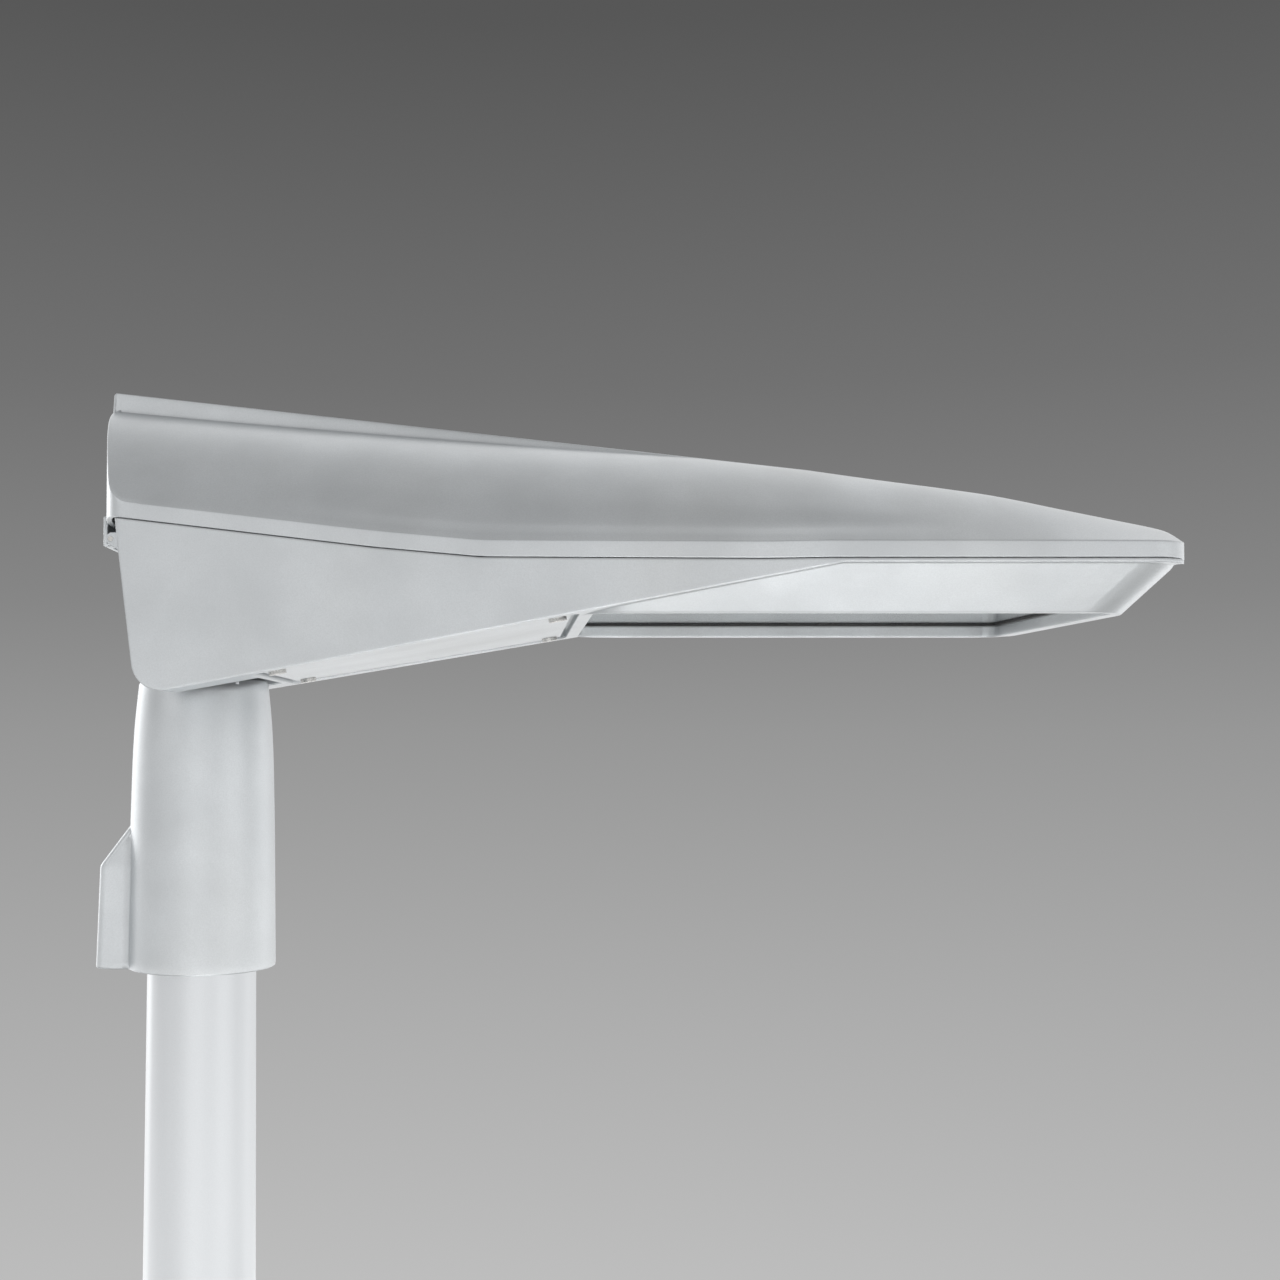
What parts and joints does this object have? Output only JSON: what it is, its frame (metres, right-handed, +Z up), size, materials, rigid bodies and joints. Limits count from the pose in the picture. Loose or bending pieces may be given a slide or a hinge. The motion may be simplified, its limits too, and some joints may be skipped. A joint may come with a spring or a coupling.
{
  "type": "street lamp post",
  "caption": "Conical steel lamp post on a base plate with a tilting flat-glass LED road luminaire whose top cover opens about its nose.",
  "frame": {"origin": "on the pole's axis at the underside of the base plate", "axes": "+Z up the pole, +X towards the luminaire's nose, +Y to the side"},
  "size_m": [0.661, 0.3, 4.2297],
  "materials": {
    "cast_paint": "light grey fine powder coat, satin",
    "pole_paint": "light grey smooth paint, satin",
    "zinc_steel": "hot-dip galvanised",
    "stainless": "satin stainless",
    "raw_aluminium": "bare extruded",
    "black_rubber": "matt silicone",
    "clear_glass": "tempered flat glass",
    "clear_lens": "clear moulded acrylic",
    "white_board": "white solder mask",
    "led_phosphor": "yellow phosphor",
    "white_plastic": "moulded",
    "grey_plastic": "moulded",
    "dark_plastic": "moulded",
    "brass_part": "plain"
  },
  "bodies": {
    "post": {"base_plate": "zinc_steel", "base_gussets": "zinc_steel", "pole_shaft": "pole_paint", "door_frame": "zinc_steel", "fuse_rail": "zinc_steel", "fuse_box": "grey_plastic", "earth_stud": "brass_part"},
    "door": {"door_panel": "pole_paint", "door_screws": "stainless"},
    "spigot_arm": {"spigot": "cast_paint", "spigot_set_screws": "stainless"},
    "head": {"housing": "cast_paint", "housing_seal": "black_rubber", "hinge_pins": "stainless", "tilt_bracket": "raw_aluminium", "tilt_bolt": "stainless", "tilt_nut": "stainless", "hatch": "cast_paint", "hatch_screws": "stainless", "glass_gasket": "black_rubber", "glass": "clear_glass", "glass_clips": "stainless", "lens_array": "clear_lens", "led_board": "white_board", "led_chips": "led_phosphor", "heat_sink": "raw_aluminium", "gear_tray": "zinc_steel", "driver": "white_plastic", "terminal_block": "white_plastic", "surge_protector": "grey_plastic", "disconnector_socket": "dark_plastic", "cable_gland": "dark_plastic", "cable_clamp": "white_plastic", "breather_valve": "dark_plastic", "latch_bracket": "cast_paint", "latch_pin": "stainless", "latch_spring": "stainless", "stay_pivot": "stainless"},
    "top_cover": {"cover": "cast_paint", "disconnector_plug": "dark_plastic", "stay_catch": "raw_aluminium"},
    "latch": {"latch_lever": "cast_paint"},
    "stay": {"stay_rod": "stainless"}
  },
  "joints": [
    {"name": "door_slide", "type": "slide", "parent": "post", "child": "door", "axis": [-1, 0, 0], "range_m": [0, 0.12]},
    {"name": "spigot_turn", "type": "hinge", "parent": "post", "child": "spigot_arm", "pos_m": [0, 0, 3.95], "axis": [0, 0, 1], "range_deg": [-90, 90]},
    {"name": "head_tilt", "type": "hinge", "parent": "spigot_arm", "child": "head", "pos_m": [0, 0, 4.0839], "axis": [0, -1, 0], "range_deg": [0, 15]},
    {"name": "cover_open", "type": "hinge", "parent": "head", "child": "top_cover", "pos_m": [0.5075, 0, 4.1214], "axis": [0, 1, 0], "range_deg": [0, 60]},
    {"name": "stay_turn", "type": "hinge", "parent": "head", "child": "stay", "pos_m": [0.307, -0.0965, 4.1309], "axis": [0, 1, 0], "range_deg": [0, 132]},
    {"name": "latch_open", "type": "hinge", "parent": "head", "child": "latch", "pos_m": [-0.048, 0, 4.1449], "axis": [0, -1, 0], "range_deg": [0, 40], "stiffness_Nm_per_rad": 0.2, "springref_deg": -11.46}
  ],
  "couplings": [
    {"joint": "stay_turn", "follows": "cover_open", "ratio": 2.2}
  ]
}
